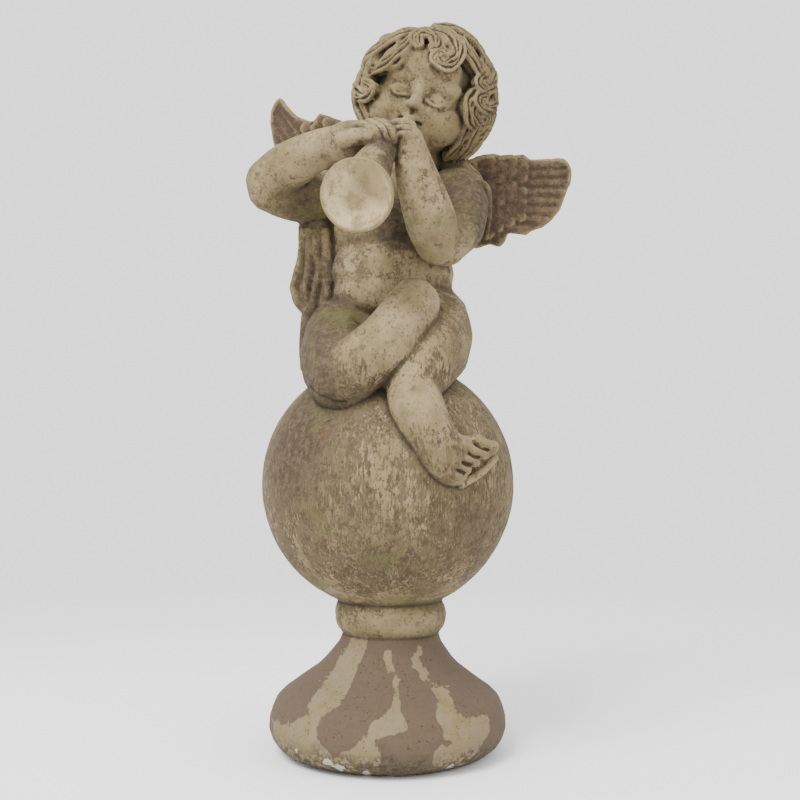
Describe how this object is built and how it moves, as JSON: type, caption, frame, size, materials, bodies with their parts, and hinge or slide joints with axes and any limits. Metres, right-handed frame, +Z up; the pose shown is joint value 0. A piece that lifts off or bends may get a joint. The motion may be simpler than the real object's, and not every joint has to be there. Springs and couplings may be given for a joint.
{
  "type": "putto figurine",
  "caption": "Winged putto blowing a horn, seated cross-legged on a ball that stands on a ring and a flared round foot; one cast piece.",
  "frame": {"origin": "centre of the foot's flat underside, on the axis of the ball", "axes": "+Z up along the figurine's height; the figure faces -Y"},
  "size_m": [0.268, 0.234, 0.5776],
  "materials": {
    "cast_stone": "matte, mottled olive-cream over grey-brown, worn"
  },
  "bodies": {
    "root": {"putto_figurine": "cast_stone"}
  },
  "joints": []
}
